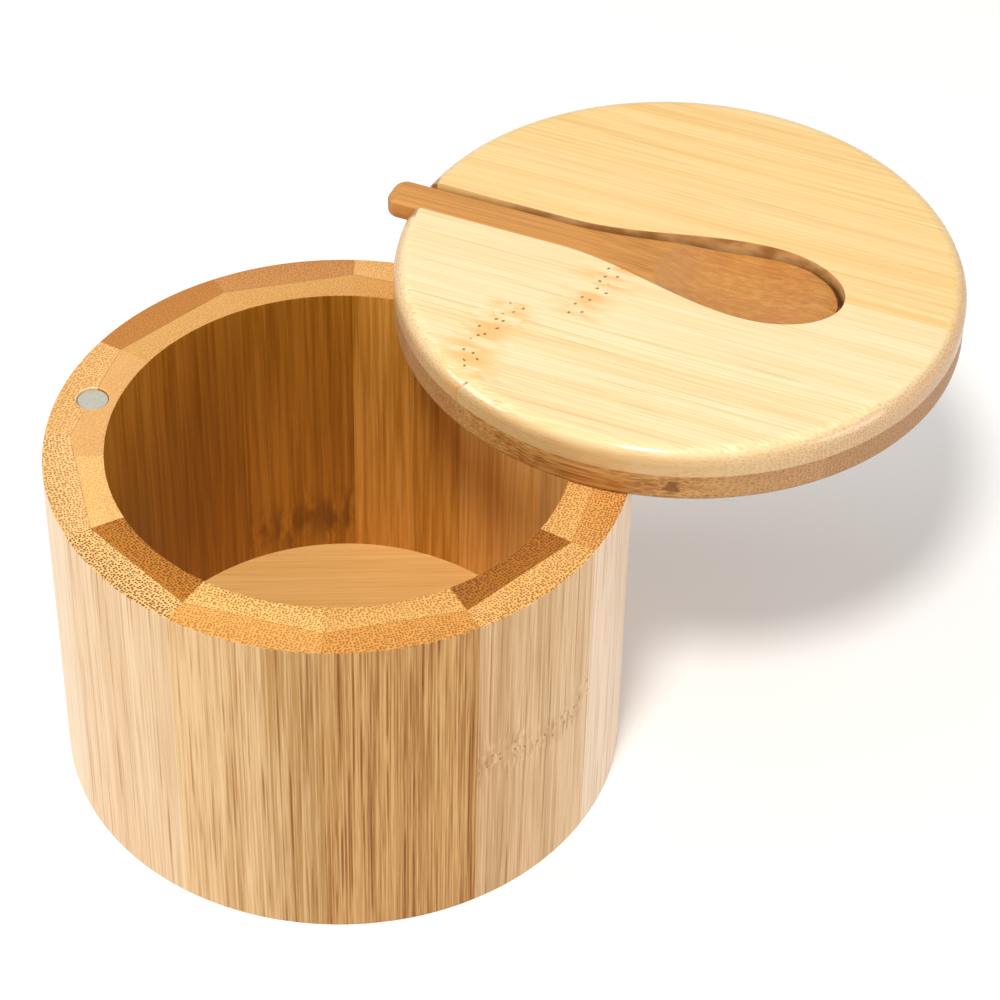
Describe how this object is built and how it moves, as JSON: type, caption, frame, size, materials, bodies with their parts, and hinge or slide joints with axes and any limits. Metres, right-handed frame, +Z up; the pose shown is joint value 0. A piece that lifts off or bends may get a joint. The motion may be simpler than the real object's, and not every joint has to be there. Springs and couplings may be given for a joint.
{
  "type": "salt box with a swivel lid",
  "caption": "Round coopered bamboo salt box with a lid that swivels sideways on a pin, a magnet catch, and a small spoon lying in a groove in the lid.",
  "frame": {"origin": "centre of the box's underside, on the surface it stands on", "axes": "+Z up, +X from the box's axis towards the lid's pivot pin, +Y completes the right-handed frame; at rest the lid is swung open towards +Y"},
  "size_m": [0.1382, 0.1273, 0.0683],
  "materials": {
    "bamboo_light": "satin lacquer, bamboo",
    "bamboo_yellow": "satin lacquer, bamboo",
    "bamboo_pinkish": "satin lacquer, bamboo",
    "bamboo_orange": "satin lacquer, bamboo",
    "bamboo_brown": "satin lacquer, bamboo",
    "bamboo_dark": "satin lacquer, bamboo",
    "floor_bamboo": "satin lacquer, bamboo",
    "lid_cream_bamboo": "glossy lacquer, bamboo",
    "lid_warm_bamboo": "glossy lacquer, bamboo",
    "lid_under_bamboo": "satin lacquer, bamboo",
    "spoon_bamboo": "oiled bamboo",
    "magnet": "nickel plated, slightly dull",
    "steel": "turned steel"
  },
  "bodies": {
    "body": {"outer_stave_01": "bamboo_light", "outer_stave_02": "bamboo_orange", "outer_stave_03": "bamboo_light", "outer_stave_04": "bamboo_brown", "outer_stave_05": "bamboo_dark", "outer_stave_06": "bamboo_yellow", "outer_stave_07": "bamboo_light", "outer_stave_08": "bamboo_light", "outer_stave_09": "bamboo_orange", "outer_stave_10": "bamboo_brown", "outer_stave_11": "bamboo_light", "outer_stave_12": "bamboo_orange", "inner_stave_01": "bamboo_yellow", "inner_stave_02": "bamboo_light", "inner_stave_03": "bamboo_orange", "inner_stave_04": "bamboo_light", "inner_stave_05": "bamboo_light", "inner_stave_06": "bamboo_pinkish", "inner_stave_07": "bamboo_yellow", "inner_stave_08": "bamboo_dark", "inner_stave_09": "bamboo_yellow", "inner_stave_10": "bamboo_light", "inner_stave_11": "bamboo_dark", "inner_stave_12": "bamboo_yellow", "floor_strip_1": "floor_bamboo", "floor_strip_2": "floor_bamboo", "floor_strip_3": "floor_bamboo", "floor_strip_4": "floor_bamboo", "pivot_pin": "steel", "rim_magnet": "magnet"},
    "lid": {"lid_bottom_strip_1": "lid_under_bamboo", "lid_bottom_strip_2": "lid_under_bamboo", "lid_bottom_strip_3": "lid_under_bamboo", "lid_bottom_strip_4": "lid_under_bamboo", "lid_bottom_strip_5": "lid_under_bamboo", "lid_top_strip_1": "lid_warm_bamboo", "lid_top_strip_2": "lid_warm_bamboo", "lid_top_strip_3": "lid_cream_bamboo", "lid_top_strip_4": "lid_cream_bamboo", "lid_top_strip_5": "lid_cream_bamboo", "lid_top_strip_6": "lid_warm_bamboo", "lid_magnet": "magnet"},
    "spoon": {"spoon": "spoon_bamboo"}
  },
  "joints": [
    {"name": "lid_swivel", "type": "hinge", "parent": "body", "child": "lid", "pos_m": [0.0391, 0, 0], "axis": [0, 0, 1], "range_deg": [-255.6, 104.4]},
    {"name": "spoon_lift", "type": "slide", "parent": "lid", "child": "spoon", "axis": [0, 0, 1], "range_m": [0, 0.03]}
  ]
}
